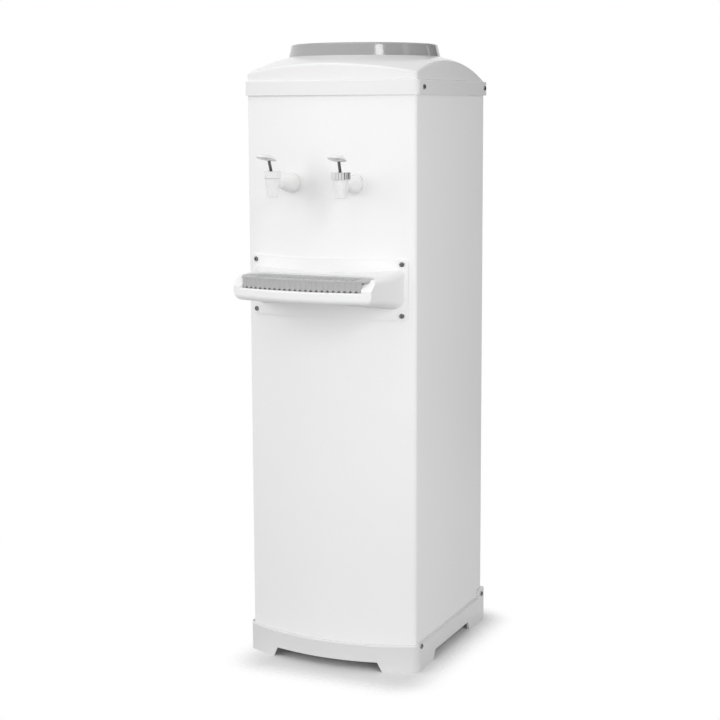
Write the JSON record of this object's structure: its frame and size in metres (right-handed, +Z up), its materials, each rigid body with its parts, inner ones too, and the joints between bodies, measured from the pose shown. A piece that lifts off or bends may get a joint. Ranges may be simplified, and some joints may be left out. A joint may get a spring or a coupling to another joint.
{
  "type": "bottled water cooler",
  "caption": "Floor-standing bottled water cooler: bowed sheet cabinet, domed cover with bottle seat, fanned lever taps, drip tray with lift-out grille, rear wire condenser.",
  "frame": {"origin": "centre of the overall box in plan, at the floor under the feet", "axes": "+Z up, the front with the taps faces -Y, +X is the viewer's right when facing the front"},
  "size_m": [0.3084, 0.448, 1],
  "materials": {
    "cabinet_paint": "satin powder coat",
    "white_moulding": "soft gloss",
    "base_moulding": "fine satin",
    "gray_moulding": "soft gloss",
    "zinc_sheet": "zinc-coated",
    "screw_steel": "dull zinc",
    "lever_steel": "drawn rod",
    "bright_chrome": "mirror",
    "tank_steel": "drawn",
    "sleeve_alloy": "mill",
    "foam": "bead foam",
    "clear_rubber": "silicone",
    "black_rubber": "matt",
    "black_paint": "black enamel",
    "black_moulding": "matt",
    "copper": "drawn tube"
  },
  "bodies": {
    "cabinet": {"cabinet_wrap": "cabinet_paint", "base_plinth": "base_moulding", "rear_panel": "zinc_sheet", "tank_shelf": "zinc_sheet", "compressor_plate": "zinc_sheet", "condenser_brackets": "zinc_sheet", "top_cover": "white_moulding", "tray_body": "white_moulding", "baffle_disc": "white_moulding", "base_screws": "screw_steel", "cover_screws": "screw_steel", "rear_screws": "screw_steel", "tray_screws": "screw_steel", "compressor_bolts": "screw_steel", "tap_left_body": "white_moulding", "tap_left_nut": "white_moulding", "tap_left_bonnet": "white_moulding", "tap_left_seal": "clear_rubber", "tap_left_gasket": "clear_rubber", "tap_left_washer": "clear_rubber", "tap_left_hose": "clear_rubber", "tap_right_body": "white_moulding", "tap_right_nut": "white_moulding", "tap_right_bonnet": "bright_chrome", "tap_right_seal": "clear_rubber", "tap_right_gasket": "clear_rubber", "tap_right_washer": "clear_rubber", "tap_right_hose": "clear_rubber", "insulation_front": "foam", "insulation_rear": "foam", "cold_tank": "tank_steel", "evaporator_sleeve": "sleeve_alloy", "seat_seal": "clear_rubber", "compressor_can": "black_paint", "condenser_tube": "black_paint", "condenser_wires": "black_paint", "compressor_grommets": "black_rubber", "cord_gland": "black_rubber", "terminal_cover": "black_moulding", "thermostat_box": "black_moulding", "suction_line": "copper", "discharge_line": "copper", "capillary_tube": "copper", "drier": "copper"},
    "lever_left": {"tap_left_paddle": "white_moulding", "tap_left_stem": "lever_steel", "tap_left_pin": "lever_steel"},
    "lever_right": {"tap_right_paddle": "white_moulding", "tap_right_stem": "lever_steel", "tap_right_pin": "lever_steel"},
    "grille": {"drip_grille": "gray_moulding"},
    "seat": {"bottle_seat": "gray_moulding"},
    "knob": {"thermostat_knob": "black_moulding"}
  },
  "joints": [
    {"name": "tap_left_press", "type": "hinge", "parent": "cabinet", "child": "lever_left", "pos_m": [-0.05857, -0.18558, 0.7935], "axis": [0.9959, -0.0905, 0], "range_deg": [0, 12], "stiffness_Nm_per_rad": 0.12, "springref_deg": -8.59, "deforming": ["tap_left_seal"]},
    {"name": "tap_right_press", "type": "hinge", "parent": "cabinet", "child": "lever_right", "pos_m": [0.05857, -0.18558, 0.7935], "axis": [0.9959, 0.0905, 0], "range_deg": [0, 12], "stiffness_Nm_per_rad": 0.12, "springref_deg": -8.59, "deforming": ["tap_right_seal"]},
    {"name": "grille_lift", "type": "slide", "parent": "cabinet", "child": "grille", "axis": [0, 0, 1], "range_m": [0, 0.05]},
    {"name": "seat_lift", "type": "slide", "parent": "cabinet", "child": "seat", "axis": [0, 0, 1], "range_m": [0, 0.12]},
    {"name": "thermostat_turn", "type": "hinge", "parent": "cabinet", "child": "knob", "pos_m": [0.068, 0.197, 0.3], "axis": [0, 1, 0], "range_deg": [0, 270]}
  ]
}
